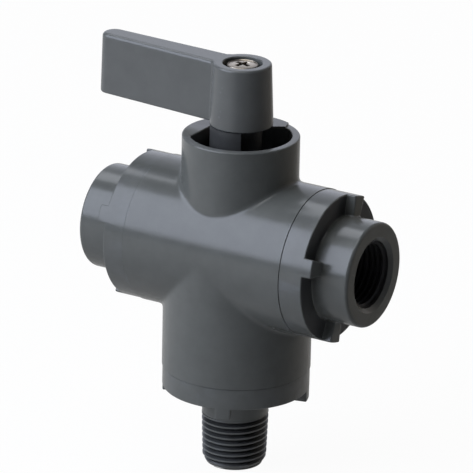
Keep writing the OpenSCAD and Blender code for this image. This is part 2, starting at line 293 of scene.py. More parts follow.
# %% Mesh helpers
TURN_STEPS = 144
WELD = 0.0005 * MM
SLIVER = 0.0002 * MM
ON_PLANE = 0.0001 * MM
NEAR = 0.01
MARGIN = 0.1


def arc(centre, radius, start, end, steps):
    """Points of a round in the (radius, height) plane, between two angles in degrees."""
    angles = [math.radians(start + (end - start) * i / steps) for i in range(steps + 1)]
    return [(centre[0] + radius * math.cos(a), centre[1] + radius * math.sin(a)) for a in angles]


def lathe(outline, steps=TURN_STEPS):
    """An outline of (radius, height) points, spun into a solid; on the axis itself it has no wall."""
    bm = bmesh.new()
    ring = [bm.verts.new((r * MM, 0, z * MM)) for r, z in outline]
    on_axis = outline[0][0] == 0 and outline[-1][0] == 0
    after = ring[1:] if on_axis else ring[1:] + ring[:1]
    edges = [bm.edges.new((a, b)) for a, b in zip(ring, after)]
    bmesh.ops.spin(
        bm, geom=ring + edges, cent=(0, 0, 0), axis=(0, 0, 1), dvec=(0, 0, 0),
        angle=math.tau, steps=steps, use_merge=True, use_duplicate=False,
    )
    bmesh.ops.remove_doubles(bm, verts=bm.verts, dist=WELD)
    bmesh.ops.dissolve_degenerate(bm, edges=bm.edges, dist=SLIVER)
    bmesh.ops.recalc_face_normals(bm, faces=bm.faces)
    return bm


def tube(radius, low, high):
    """A plain closed cylinder about Z."""
    bm = bmesh.new()
    bmesh.ops.create_cone(
        bm, cap_ends=True, segments=TURN_STEPS, radius1=radius * MM, radius2=radius * MM,
        depth=(high - low) * MM, matrix=Matrix.Translation((0, 0, (low + high) / 2 * MM)),
    )
    return bm


def place(bm, matrix):
    """Moves a whole mesh by a matrix whose lengths are metres."""
    bmesh.ops.transform(bm, matrix=matrix, verts=bm.verts)
    return bm


def turn(bm, angle):
    """Turns a whole mesh about Z by an angle in degrees."""
    return place(bm, Matrix.Rotation(math.radians(angle), 4, "Z"))


def add_mesh(target, extra):
    """Adds a second mesh to the first, and uses it up."""
    carrier = bpy.data.meshes.new("carrier")
    extra.to_mesh(carrier)
    extra.free()
    target.from_mesh(carrier)
    bpy.data.meshes.remove(carrier)


def slice_off(bm, point, normal):
    """Clears the side of a plane that its normal points to, and closes the cut."""
    cut = bmesh.ops.bisect_plane(
        bm, geom=bm.verts[:] + bm.edges[:] + bm.faces[:], dist=ON_PLANE,
        plane_co=Vector(point) * MM, plane_no=normal, clear_outer=True,
    )
    edges = [g for g in cut["geom_cut"] if isinstance(g, bmesh.types.BMEdge)]
    bmesh.ops.holes_fill(bm, edges=edges, sides=0)
    return bm


AT_AXIS = Matrix.Translation((0, 0, axis_h * MM))
TO_RIGHT = AT_AXIS @ Matrix.Rotation(math.radians(90), 4, "Y")
TO_LEFT = Matrix.Rotation(math.radians(180), 4, "Z") @ TO_RIGHT
TO_BOTTOM = AT_AXIS @ Matrix.Rotation(math.radians(180), 4, "X")
print(f"lathe: {TURN_STEPS} steps of {360 / TURN_STEPS} degrees")

# %% [markdown]
# Meshes become objects at the origin. There they can be melted into one skin by a voxel remesh, smoothed
# where a test says so, and cut by other meshes. Each of these is applied at once.

# %% Object helpers


def to_object(bm, name):
    """Turns a bmesh into an object at the origin."""
    data = bpy.data.meshes.new(name)
    bm.to_mesh(data)
    bm.free()
    made = bpy.data.objects.new(name, data)
    bpy.context.scene.collection.objects.link(made)
    return made


def settle(made):
    """Applies an object's modifiers to its mesh."""
    graph = bpy.context.evaluated_depsgraph_get()
    baked = bpy.data.meshes.new_from_object(made.evaluated_get(graph))
    baked.materials.clear()
    made.modifiers.clear()
    made.data = baked
    return made


def melt(made, voxel):
    """Joins an object's overlapping shells into one skin."""
    step = made.modifiers.new("voxels", "REMESH")
    step.mode = "VOXEL"
    step.voxel_size = voxel * MM
    return settle(made)


def smooth_near(made, is_near, rounds):
    """Smooths the vertices that a test picks, which rounds an inner corner into a fillet."""
    bm = bmesh.new()
    bm.from_mesh(made.data)
    chosen = [v for v in bm.verts if is_near(v.co / MM)]
    for _ in range(rounds):
        bmesh.ops.smooth_vert(bm, verts=chosen, factor=0.5, use_axis_x=True, use_axis_y=True, use_axis_z=True)
    bm.to_mesh(made.data)
    bm.free()
    return len(chosen)


def cut_out(made, tool_mesh, solver="MANIFOLD"):
    """Cuts a second mesh, which is used up, out of an object."""
    tool = to_object(tool_mesh, "tool")
    step = made.modifiers.new("cut", "BOOLEAN")
    step.operation = "DIFFERENCE"
    step.solver = solver
    step.object = tool
    settle(made)
    bpy.data.objects.remove(tool)
    return made


print("object helpers ready")

# %% [markdown]
# Every finished mesh is handed over the same way: it gets its finishes, rides on its body and stands for
# a CAD node. Edges flatter than the limit are shaded smooth, and weighted normals keep the flat faces
# flat beside their small rounds. Recessed faces may take another of the piece's finishes, a darker one
# whose colour is painted shade.

# %% Hand-over helpers
SMOOTH_LIMIT = 32
materials = {}


def finish_faces(made, index, is_inside):
    """Gives another finish to the faces whose centre, in millimetres, passes a test."""
    for face in made.data.polygons:
        if is_inside(face.center / MM):
            face.material_index = index


def hand_over(made, body_name, finishes, node):
    """Shades a finished piece, gives it its finishes and its body, and hides the CAD node it stands for."""
    for finish in finishes:
        made.data.materials.append(materials[finish])
    made.data.polygons.foreach_set("use_smooth", [True] * len(made.data.polygons))
    made.data.set_sharp_from_angle(angle=math.radians(SMOOTH_LIMIT))
    weighted = made.modifiers.new("weighted_normals", "WEIGHTED_NORMAL")
    weighted.keep_sharp = True
    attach(made, body_name)
    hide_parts(node)
    print(f"{made.name}: {len(made.data.polygons)} faces")


print(f"edges flatter than {SMOOTH_LIMIT} degrees are shaded smooth")

# %% [markdown]
# The valve's plastic is grey PVC from a polished mould: a satin sheen, very fine grain, soft flow marks
# and rubbed edges. The grain, the flow marks and the wear are node groups, because the body, the
# handle and the ball share them at different strengths.

# %% Grain and flow marks


def new_group(name, inputs, outputs):
    """An empty shader group with float inputs, given as name and default, and named outputs."""
    group = bpy.data.node_groups.new(name, "ShaderNodeTree")
    for label, value in inputs:
        socket = group.interface.new_socket(name=label, in_out="INPUT", socket_type="NodeSocketFloat")
        socket.default_value = value
    for label in outputs:
        group.interface.new_socket(name=label, in_out="OUTPUT", socket_type="NodeSocketFloat")
    return group, group.nodes.new("NodeGroupInput"), group.nodes.new("NodeGroupOutput")


def object_place(tree):
    """The object coordinates, which stay with a piece as it moves."""
    return tree.nodes.new("ShaderNodeTexCoord").outputs["Object"]


def noise(tree, vector, scale, detail=3.0, roughness=0.5):
    """A noise texture on the given coordinates."""
    node = tree.nodes.new("ShaderNodeTexNoise")
    node.inputs["Detail"].default_value = detail
    node.inputs["Roughness"].default_value = roughness
    feed(tree, node.inputs["Vector"], vector)
    feed(tree, node.inputs["Scale"], scale)
    return node.outputs["Fac"]


SLOW_SCALE = 160.0
FLOW_SPAN = (0.3, 0.7)
grain_group, grain_in, grain_out = new_group(
    "mould_grain", [("Scale", 2500.0), ("Waviness", 0.5)], ["Height"])
grain_place = object_place(grain_group)
fine = noise(grain_group, grain_place, grain_in.outputs["Scale"], detail=4.0)
slow = noise(grain_group, grain_place, SLOW_SCALE, detail=1.0)
slow_part = combine_values(grain_group, "MULTIPLY", slow, grain_in.outputs["Waviness"])
feed(grain_group, grain_out.inputs["Height"], combine_values(grain_group, "ADD", fine, slow_part))

flow_group, flow_in, flow_out = new_group("flow_marks", [("Scale", 260.0)], ["Mask"])
flow_cloud = noise(flow_group, object_place(flow_group), flow_in.outputs["Scale"], detail=5.0, roughness=0.6)
feed(flow_group, flow_out.inputs["Mask"], remap(flow_group, flow_cloud, *FLOW_SPAN))
print("node groups:", [group.name for group in bpy.data.node_groups])

# %% [markdown]
# Wear follows the shape. Pointiness finds the outer edges, which hands rub pale in patches and which also get
# a painted highlight, and the inner corners, which get a painted shade. Scuffs are long thin streaks that run
# at a slant over everything.

# %% Handling wear, painted edge highlight and corner shade
EDGE_SPAN = (0.52, 0.60)
CORNER_SHADE_SPAN = (0.40, 0.485)
PATCHY_SPAN = (0.4, 0.65)
SCUFF_SPAN = (0.70, 0.85)
STREAK_SCALE = 260.0
STREAK_TURN = (0.4, 0.7, 0.2)
STREAK_STRETCH = (1.0, 1.0, 9.0)

wear_and_light_group, wear_in, wear_out = new_group(
    "wear_and_painted_light", [("Scale", 400.0), ("Amount", 0.5)], ["Edges", "Scuffs", "Corner_shade"])
wear_place = object_place(wear_and_light_group)
amount = wear_in.outputs["Amount"]
pointed = wear_and_light_group.nodes.new("ShaderNodeNewGeometry").outputs["Pointiness"]
# Inner corners get a painted shade.
feed(wear_and_light_group, wear_out.inputs["Corner_shade"], remap(wear_and_light_group, pointed, *CORNER_SHADE_SPAN, 1, 0))
# Outer edges are paled partly by wear and partly as a painted highlight.
edge = remap(wear_and_light_group, pointed, *EDGE_SPAN)
patchy = remap(wear_and_light_group, noise(wear_and_light_group, wear_place, wear_in.outputs["Scale"], detail=4.0), *PATCHY_SPAN)
edge_part = combine_values(wear_and_light_group, "MULTIPLY", edge, patchy)
feed(wear_and_light_group, wear_out.inputs["Edges"], combine_values(wear_and_light_group, "MULTIPLY", edge_part, amount))
streak_map = wear_and_light_group.nodes.new("ShaderNodeMapping")
streak_map.inputs["Rotation"].default_value = STREAK_TURN
streak_map.inputs["Scale"].default_value = STREAK_STRETCH
feed(wear_and_light_group, streak_map.inputs["Vector"], wear_place)
streaks = noise(wear_and_light_group, streak_map.outputs["Vector"], STREAK_SCALE, detail=6.0, roughness=0.7)
scuff = remap(wear_and_light_group, streaks, *SCUFF_SPAN)
feed(wear_and_light_group, wear_out.inputs["Scuffs"], combine_values(wear_and_light_group, "MULTIPLY", scuff, amount))
print("wear group:", len(wear_and_light_group.nodes), "nodes")

# %% [markdown]
# One function builds each plastic from those groups. The colour drifts a little with the flow marks,
# a painted shade darkens the inner corners, and scuffs and edges are paler, the edges partly from wear and
# partly as a painted highlight. Scuffs also make the surface rougher. The recess and bore finishes are
# duller, and their darker colour is painted shade, because little light comes back out of a recess.

# %% Plastics
# The painted corner shade darkens the colour to this share.
CORNER_SHADE_FACTOR = 0.25
SCUFF_ROUGHNESS = 0.15
GRAIN_DEPTH = 0.05
PLASTIC_IOR = 1.53
# Colour, its drift, the colour of scuffs and rubbed edges, which on the edges is also a painted highlight,
# roughness low and high, wear, grain.
PLASTICS = {
    "grey_pvc": ((0.131, 0.137, 0.127), (0.150, 0.156, 0.145), (0.19, 0.20, 0.21), (0.18, 0.22), 0.5, 0.1),
    "handle_pvc": ((0.134, 0.139, 0.132), (0.152, 0.157, 0.149), (0.20, 0.21, 0.22), (0.20, 0.25), 0.5, 0.1),
    # The recess and bore plastics are darker copies of the grey plastic: their colour is painted shade.
    "recess_painted_shade": ((0.058, 0.060, 0.060), (0.066, 0.068, 0.068), (0.10, 0.105, 0.105), (0.3, 0.36), 0.5, 0.1),
    "bore_painted_shade": ((0.03, 0.031, 0.031), (0.038, 0.039, 0.039), (0.06, 0.06, 0.06), (0.4, 0.5), 0.5, 0.1),
    "ball_pvc": ((0.11, 0.12, 0.13), (0.12, 0.13, 0.14), (0.18, 0.19, 0.20), (0.2, 0.26), 0.3, 0.1),
    "seat_ptfe": ((0.78, 0.77, 0.72), (0.82, 0.81, 0.77), (0.88, 0.87, 0.84), (0.45, 0.55), 0.2, 0.15),
    "seal_rubber": ((0.018, 0.018, 0.018), (0.024, 0.024, 0.024), (0.06, 0.06, 0.06), (0.55, 0.7), 0.3, 0.02),
}


def mix_colour(tree, mask, first, second):
    """Mixes two colours, each a socket or a plain colour, by a mask."""
    node = tree.nodes.new("ShaderNodeMix")
    node.data_type = "RGBA"
    feed(tree, node.inputs["Factor"], mask)
    for label, value in (("A", first), ("B", second)):
        socket = next(s for s in node.inputs if s.name == label and s.type == "RGBA")
        feed(tree, socket, (*value, 1) if isinstance(value, tuple) else value)
    return next(s for s in node.outputs if s.type == "RGBA")


def use_group(tree, group, **values):
    """Places a node group in a material with its own values."""
    node = tree.nodes.new("ShaderNodeGroup")
    node.node_tree = group
    for label, value in values.items():
        node.inputs[label].default_value = value
    return node.outputs


def add_bump(tree, shader, height, strength, distance):
    """Feeds a height into a shader's normal."""
    bump = tree.nodes.new("ShaderNodeBump")
    bump.inputs["Strength"].default_value = strength
    bump.inputs["Distance"].default_value = distance * MM
    feed(tree, bump.inputs["Height"], height)
    feed(tree, shader.inputs["Normal"], bump.outputs["Normal"])


def plastic(name, colour, drift, wear_and_highlight, rough, wear, grain):
    """A moulded plastic with flow marks, painted corner shade, rubbed edges that carry a painted highlight,
    scuffs and grain.
    """
    made = bpy.data.materials.new(name)
    made.use_nodes = True
    tree = made.node_tree
    shader = tree.nodes["Principled BSDF"]
    flow = use_group(tree, flow_group)["Mask"]
    marks = use_group(tree, wear_and_light_group, Amount=wear)
    base = mix_colour(tree, flow, colour, drift)
    # The inner corners are darkened by painted shade.
    base = mix_colour(tree, marks["Corner_shade"], base, tuple(CORNER_SHADE_FACTOR * c for c in colour))
    # Edges are paled partly by wear and partly as a painted highlight; scuffs are wear.
    base = mix_colour(tree, marks["Edges"], base, wear_and_highlight)
    base = mix_colour(tree, marks["Scuffs"], base, wear_and_highlight)
    feed(tree, shader.inputs["Base Color"], base)
    scuffed = combine_values(tree, "MULTIPLY", marks["Scuffs"], SCUFF_ROUGHNESS)
    roughness = combine_values(tree, "ADD", remap(tree, flow, 0, 1, *rough), scuffed)
    feed(tree, shader.inputs["Roughness"], roughness)
    add_bump(tree, shader, use_group(tree, grain_group)["Height"], grain, GRAIN_DEPTH)
    shader.inputs["IOR"].default_value = PLASTIC_IOR
    materials[name] = made


for name, values in PLASTICS.items():
    plastic(name, *values)
print("plastics:", sorted(materials))

# %% [markdown]
# The handle's screw is stainless steel, and its colour carries a painted warm reflection of the room. Turned
# steel has fine rings round its axis, so a wave texture in rings about Z feeds the bump and the roughness.
# Below the head's top the colour falls to a dark brown, which is painted shade in the cross recess.

# %% Screw steel
# The steel's warm colours hold a painted reflection of the room.
STEEL_COLOURS = ((0.42, 0.36, 0.28), (0.62, 0.56, 0.47))
# The cross recess's dark brown is painted shade.
STEEL_RECESS_SHADE = (0.07, 0.055, 0.045)
STEEL_ROUGH = (0.22, 0.34)
RECESS_SHADE_BELOW = (0.45, 0.25)
STAIN_SCALE = 900.0
RING_SCALE = 3000.0
RING_DISTORTION = 1.5
RING_STRENGTH = 0.15
RING_DEPTH = 0.01

steel = bpy.data.materials.new("screw_steel")
steel.use_nodes = True
steel_tree = steel.node_tree
steel_shader = steel_tree.nodes["Principled BSDF"]
steel_shader.inputs["Metallic"].default_value = 1.0
steel_place = object_place(steel_tree)
rings = steel_tree.nodes.new("ShaderNodeTexWave")
rings.wave_type = "RINGS"
rings.rings_direction = "Z"
rings.inputs["Scale"].default_value = RING_SCALE
rings.inputs["Distortion"].default_value = RING_DISTORTION
feed(steel_tree, rings.inputs["Vector"], steel_place)
stain = noise(steel_tree, steel_place, STAIN_SCALE, detail=4.0)
steel_colour = mix_colour(steel_tree, stain, *STEEL_COLOURS)
steel_parts = steel_tree.nodes.new("ShaderNodeSeparateXYZ")
feed(steel_tree, steel_parts.inputs["Vector"], steel_place)
# Below the head's top the colour falls to the painted recess shade.
shade_low, shade_high = ((lever_top - below) * MM for below in RECESS_SHADE_BELOW)
sunk = remap(steel_tree, steel_parts.outputs["Z"], shade_low, shade_high, 1, 0)
feed(steel_tree, steel_shader.inputs["Base Color"], mix_colour(steel_tree, sunk, steel_colour, STEEL_RECESS_SHADE))
steel_rough = remap(steel_tree, rings.outputs["Fac"], 0, 1, *STEEL_ROUGH)
feed(steel_tree, steel_shader.inputs["Roughness"], steel_rough)
add_bump(steel_tree, steel_shader, rings.outputs["Fac"], RING_STRENGTH, RING_DEPTH)
materials["screw_steel"] = steel
print("steel:", len(steel_tree.nodes), "nodes")

# %% [markdown]
# The body is one moulding: a run tube, a barrel and a collar that flow into each other with small fillets.
# Boolean cuts of plain cylinders would leave knife edges there. A fine voxel remesh of the three
# cylinders joins them as a mould does, and smoothing the vertices beside the joints grows the fillets.
# The ends, bores and pocket are cut afterwards, so that their edges stay crisp.

# %% Body skin
COLLAR_R = 8.95
COLLAR_H = 17.7
BODY_VOXEL = 0.22
SPARE = 1.0
FILLET_REACH = 0.6
FILLET_ROUNDS = 8
SKIN_ROUNDS = 2
rim_h = axis_h + COLLAR_H


def near_body_joint(p):
    """True where two of the body's three cylinders meet."""
    beside_run = abs(math.hypot(p.y, p.z - axis_h) - tube_r) < FILLET_REACH
    upright_r = tube_r if p.z < axis_h else COLLAR_R
    return beside_run and abs(math.hypot(p.x, p.y) - upright_r) < FILLET_REACH


skin_mesh = place(tube(tube_r, -run_end - SPARE, run_end + SPARE), TO_RIGHT)
add_mesh(skin_mesh, tube(tube_r, body_low.z - SPARE, axis_h))
add_mesh(skin_mesh, tube(COLLAR_R, axis_h, rim_h + SPARE))
body = melt(to_object(skin_mesh, "valve_body_moulding"), BODY_VOXEL)
print("body skin:", len(body.data.vertices), "vertices")
print("fillet vertices:", smooth_near(body, near_body_joint, FILLET_ROUNDS))
smooth_near(body, lambda p: True, SKIN_ROUNDS)

# %% [markdown]
# The cutters are turned too. Each end cutter carries a small bevel, so the tube's end gets the broken
# edge that makes the seam line between the body and a connector's ring.

# %% Body cuts
SEAM_BREAK = 0.05
BOTTOM_SEAM_BREAK = 0.09
SPIGOT_R = 9.05
SPIGOT_L = 3.8
CHAMBER_R = 6.8
NOSE_BORE_R = 6.5
FAR = 3.0
FLARE = 0.4


def end_cutter(inner_r, start, seam, seam_break):
    """Cuts everything beyond a tube's end, with its bore and the broken outer edge, along +Z."""
    shoulder = seam - SPIGOT_L
    return lathe([
        (0, start), (inner_r, start), (inner_r, shoulder), (SPIGOT_R, shoulder), (SPIGOT_R, seam),
        (tube_r - seam_break, seam), (tube_r + FLARE, seam - FLARE - seam_break),
        (tube_r + FLARE, seam + FAR), (0, seam + FAR),
    ])


for side in (TO_RIGHT, TO_LEFT):
    cut_out(body, place(end_cutter(NOSE_BORE_R, 0, run_end, SEAM_BREAK), side))
cut_out(body, place(end_cutter(CHAMBER_R, -CHAMBER_R, barrel_end, BOTTOM_SEAM_BREAK), TO_BOTTOM))
print("body ends:", len(body.data.polygons), "faces")

# %% [markdown]
# The collar's rim is cut by a turned tool with a round in it. The raised pad on the rear stop wall is left
# standing because its own block is first taken out of that tool.

# %% Collar rim
PAD_H = 0.3
PAD_HALF_L = 3.8
PAD_INNER_R = 3
PAD_OVERLAP = 0.2
PAD_END = ((4.14, 6.1, 0), (0.947, 0.321, 0))
REAR_WALL_Y = 5.05
RIM_ROUND = 0.22


def rim_pad_block():
    """The raised pad's own block: a slice of a ring behind the stop wall, with a bevelled outer top."""
    top = rim_h + PAD_H
    bm = lathe([
        (PAD_INNER_R, rim_h - SPARE), (COLLAR_R + FLARE, rim_h - SPARE),
        (COLLAR_R + FLARE, top - FLARE - RIM_ROUND), (COLLAR_R - RIM_ROUND, top), (PAD_INNER_R, top),
    ])
    slice_off(bm, (0, REAR_WALL_Y - PAD_OVERLAP, 0), (0, -1, 0))
    slice_off(bm, *PAD_END)
    slice_off(bm, (-PAD_HALF_L, 0, 0), (-1, 0, 0))
    bmesh.ops.recalc_face_normals(bm, faces=bm.faces)
    return bm


rim_outline = [(0, rim_h)] + arc((COLLAR_R - RIM_ROUND, rim_h - RIM_ROUND), RIM_ROUND, 90, 12, 4)
rim_outline += [(COLLAR_R + FLARE, rim_h - RIM_ROUND), (COLLAR_R + FLARE, rim_h + FAR), (0, rim_h + FAR)]
rim_cutter = cut_out(to_object(lathe(rim_outline), "rim_cutter"), rim_pad_block(), "EXACT")
rim_tool = bmesh.new()
rim_tool.from_mesh(rim_cutter.data)
bpy.data.objects.remove(rim_cutter)
cut_out(body, rim_tool)
print("collar rim:", len(body.data.polygons), "faces")

# %% [markdown]
# The pocket is a round hole pressed flat by the two walls that stop the lever's lug. Its loops are bridged
# from the floor up to a bevelled mouth. The wall behind turns back a little at its right end.

# %% Collar pocket
POCKET_R = 7.7
POCKET_DEPTH = 5.1
POCKET_STEPS = 288
STOP_FLAT = 5.86
REAR_WALL_TURN = (2.35, 0.637)
EDGE_BREAK = 0.12
STEM_BORE_R = 2.9
pocket_floor = rim_h - POCKET_DEPTH


def pocket_loop(bm, height, grow):
    """One loop of the pocket's outline: a circle pressed flat against the two stop walls."""
    at = Matrix.Translation((0, 0, height * MM))
    made = bmesh.ops.create_circle(bm, segments=POCKET_STEPS, radius=(POCKET_R + grow) * MM, matrix=at)
    ring = made["verts"]
    for v in ring:
        v.co.x = max(v.co.x, -(STOP_FLAT + grow) * MM)
        past_turn = max(v.co.x / MM - REAR_WALL_TURN[0], 0)
        v.co.y = min(v.co.y, (REAR_WALL_Y + past_turn * REAR_WALL_TURN[1]) * MM)
    return [e for e in bm.edges if e.verts[0] in ring and e.verts[1] in ring]


def pocket_cutter():
    """The pocket round the stem, with its two flat stop walls and a bevelled mouth."""
    bm = bmesh.new()
    levels = ((pocket_floor, 0), (rim_h - EDGE_BREAK, 0), (rim_h, EDGE_BREAK), (rim_h + SPARE, EDGE_BREAK))
    loops = [pocket_loop(bm, height, grow) for height, grow in levels]
    for lower, upper in zip(loops, loops[1:]):
        bmesh.ops.bridge_loops(bm, edges=lower + upper)
    for end in (loops[0], loops[-1]):
        bmesh.ops.contextual_create(bm, geom=end)
    bmesh.ops.remove_doubles(bm, verts=bm.verts, dist=2 * WELD)
    bmesh.ops.recalc_face_normals(bm, faces=bm.faces)
    return bm


def in_pocket(p):
    """True on the pocket's walls and floor."""
    in_depth = pocket_floor - MARGIN < p.z < rim_h - EDGE_BREAK
    return in_depth and math.hypot(p.x, p.y) < POCKET_R + 2 * NEAR


cut_out(body, pocket_cutter(), "EXACT")
cut_out(body, tube(STEM_BORE_R, axis_h, rim_h))
# The pocket's walls and floor take the recess finish: painted shade.
finish_faces(body, 1, in_pocket)
hand_over(body, "valve_body", ["grey_pvc", "recess_painted_shade"], "body")

# %% [markdown]
# A connector is a turned ring and hub with four spanner lugs. The lathe makes the turned part. The lugs
# are raised from the ring's own faces by an extrusion, so they share its edge as on the real moulding.
# Where they stand against the hub, the wall between the two is taken out.

# %% Connector helpers
LUG_COUNT = 4
LUG_ROUND = 0.2
SHARP_EDGE = 50
NOSE_NEAR = 6.6
SEAT_POCKET_R = 4.95
SEAT_POCKET_END = 8.9
SPIGOT_GAP = 0.05
O_RING_R = 8.0
O_RING_L = 1.0
WAY_R = 2.5
RING_BREAK = 0.06


def plug_outline(nose_r, seam, face):
    """The outline of a connector's plugged end, from the waterway out to the ring's face."""
    spigot_r = SPIGOT_R - SPIGOT_GAP
    foot = seam - SPIGOT_L + SPIGOT_GAP
    return [
        (WAY_R, SEAT_POCKET_END), (SEAT_POCKET_R, SEAT_POCKET_END), (SEAT_POCKET_R, NOSE_NEAR),
        (nose_r, NOSE_NEAR), (nose_r, foot + O_RING_L), (O_RING_R, foot + O_RING_L), (O_RING_R, foot),
        (spigot_r, foot), (spigot_r, seam), (ring_r - RING_BREAK, seam), (ring_r, seam + RING_BREAK),
        (ring_r, face),
    ]


def raise_lugs(bm, face_z, inner_r, half_angle, height, against_hub):
    """Extrudes the ring's face outside a radius, inside each lug's angle, and rounds the lugs' edges."""
    def radius(co):
        return math.hypot(co.x, co.y) / MM

    def in_lug(f):
        centre = f.calc_center_median()
        pitch = 360 / LUG_COUNT
        angle = math.degrees(math.atan2(centre.y, centre.x))
        return abs((angle + pitch / 2) % pitch - pitch / 2) < half_angle

    flat = [f for f in bm.faces if all(abs(v.co.z / MM - face_z) < NEAR for v in f.verts)]
    chosen = [f for f in flat if inner_r < radius(f.calc_center_median()) < ring_r and in_lug(f)]
    count = len(chosen)
    raised = bmesh.ops.extrude_face_region(bm, geom=chosen)
    verts = [g for g in raised["geom"] if isinstance(g, bmesh.types.BMVert)]
    bmesh.ops.translate(bm, verts=verts, vec=(0, 0, height * MM))
    bmesh.ops.delete(bm, geom=chosen, context="FACES")
    bmesh.ops.remove_doubles(bm, verts=bm.verts, dist=2 * WELD)
    if against_hub:
        walls = [f for f in bm.faces if all(abs(radius(v.co) - inner_r) < NEAR for v in f.verts)]
        low, high = face_z * MM, (face_z + height) * MM
        shared = [f for f in walls if in_lug(f) and low < f.calc_center_median().z < high]
        bmesh.ops.delete(bm, geom=shared, context="FACES")
    bm.normal_update()
    edges = []
    for e in bm.edges:
        heights = [v.co.z / MM for v in e.verts]
        on_lug = min(heights) > face_z - NEAR and max(heights) < face_z + height + NEAR
        outside = min(radius(v.co) for v in e.verts) > inner_r - NEAR
        if on_lug and outside and e.is_manifold and e.calc_face_angle() > math.radians(SHARP_EDGE):
            edges.append(e)
    bmesh.ops.bevel(
        bm, geom=edges, offset=LUG_ROUND * MM, segments=3, profile=0.5, affect="EDGES",
        material=-1, clamp_overlap=False,
    )
    print("lug faces:", count)


# %% [markdown]
# Both threads are one helper: a tooth outline is spun along a helix by giving the spin a rise per step.
# The ridge is cut flat at both ends of its stretch by planes, and its free ends are closed.

# %% Thread helper
PITCH = 25.4 / 27
TAPER = 1 / 16
ROOT_SHARE = 0.84
CREST_SHARE = 0.28
THREAD_STEPS = 72
THREAD_SINK = 0.25


def thread_ridge(root_r, crest_r, low, high):
    """A helical ridge about Z between two heights; its tooth points from the root to the crest."""
    turns = math.ceil((high - low) / PITCH) + 2
    start = low - PITCH
    half = PITCH * ROOT_SHARE / 2
    flat = PITCH * CREST_SHARE / 2
    sunk_r = root_r - math.copysign(THREAD_SINK, crest_r - root_r)
    bm = bmesh.new()
    tooth = [
        (sunk_r, -half), (root_r, -half), (crest_r, -flat), (crest_r, flat), (root_r, half), (sunk_r, half)]
    verts = [bm.verts.new((r * MM, 0, (start + z) * MM)) for r, z in tooth]
    edges = [bm.edges.new((a, b)) for a, b in zip(verts, verts[1:] + verts[:1])]
    bmesh.ops.spin(
        bm, geom=verts + edges, cent=(0, 0, 0), axis=(0, 0, 1), dvec=(0, 0, PITCH / THREAD_STEPS * MM),
        angle=math.tau * turns, steps=THREAD_STEPS * turns, use_merge=False, use_duplicate=False,
    )
    bmesh.ops.holes_fill(bm, edges=[e for e in bm.edges if e.is_boundary], sides=0)
    slice_off(bm, (0, 0, low), (0, 0, -1))
    slice_off(bm, (0, 0, high), (0, 0, 1))
    bmesh.ops.recalc_face_normals(bm, faces=bm.faces)
    return bm


print(f"thread: pitch {PITCH:.4f} mm, taper 1 in {1 / TAPER:.0f}")

# %% [markdown]
# The two side connectors are the same moulding, so one function makes both. The hub has a rounded lip,
# a chamfered mouth and a female thread inside.

# %% Side connectors
HUB_R = 8.1
HUB_ROUND = 0.5
SIDE_NOSE_R = 6.3
PORT_R = 5.2
PORT_CHAMFER = 0.55
PORT_LIP = 0.15
PORT_DEPTH = 7.5
PORT_THREAD_DEPTH = 0.45
PORT_THREAD_FOOT = 0.3
PORT_THREAD_END = 0.35
SIDE_STEPS = 148
SIDE_LUG_HALF_ANGLE = 7.3


def side_connector(name, to_port, node, ring_w, lug_turn, lug_height):
    """One side connector, turned along +Z and then laid along the run."""
    face = run_end + ring_w
    outline = plug_outline(SIDE_NOSE_R, run_end, face)
    outline += [(HUB_R, face), (HUB_R, face + lug_height)]
    outline += arc((HUB_R - HUB_ROUND, port_face - HUB_ROUND), HUB_ROUND, 0, 90, 6)
    outline += arc((PORT_R + PORT_CHAMFER + PORT_LIP, port_face - PORT_LIP), PORT_LIP, 90, 135, 2)
    outline += [(PORT_R, port_face - PORT_CHAMFER)]
    outline += [(PORT_R, port_face - PORT_DEPTH), (WAY_R, port_face - PORT_DEPTH)]
    bm = lathe(outline, SIDE_STEPS)
    raise_lugs(bm, face, HUB_R, SIDE_LUG_HALF_ANGLE, lug_height, against_hub=True)
    turn(bm, lug_turn)
    thread_low = port_face - PORT_DEPTH + PORT_THREAD_FOOT
    thread_high = port_face - PORT_CHAMFER - PORT_THREAD_END
    add_mesh(bm, thread_ridge(PORT_R, PORT_R - PORT_THREAD_DEPTH, thread_low, thread_high))
    made = to_object(place(bm, to_port), name)

    def on_ring_face(p):
        return abs(abs(p.x) - face) < NEAR and math.hypot(p.y, p.z - axis_h) > HUB_R

    def in_port(p):
        in_depth = abs(p.x) > port_face - PORT_DEPTH - MARGIN
        return in_depth and math.hypot(p.y, p.z - axis_h) < PORT_R + NEAR

    # The ring's face between the lugs takes the recess finish and the bore the bore finish: both are painted
    # shade.
    finish_faces(made, 1, on_ring_face)
    finish_faces(made, 2, in_port)
    hand_over(made, "valve_body", ["grey_pvc", "recess_painted_shade", "bore_painted_shade"], node)


side_connector(
    "right_connector_moulding", TO_RIGHT, "right_end_connector", ring_w=3.9, lug_turn=-16.7, lug_height=1.5)
side_connector(
    "left_connector_moulding", TO_LEFT, "left_end_connector", ring_w=3.55, lug_turn=22.5, lug_height=1.3)

# %% [markdown]
# The bottom connector ends in a neck and a male taper thread. The thread's crests follow the taper of
# 1 in 16 and the lead at the tip, so each vertex of the ridge is drawn in to the lower of the two.
# The neck and the grooves have the duller recess finish, whose darker colour is painted shade.

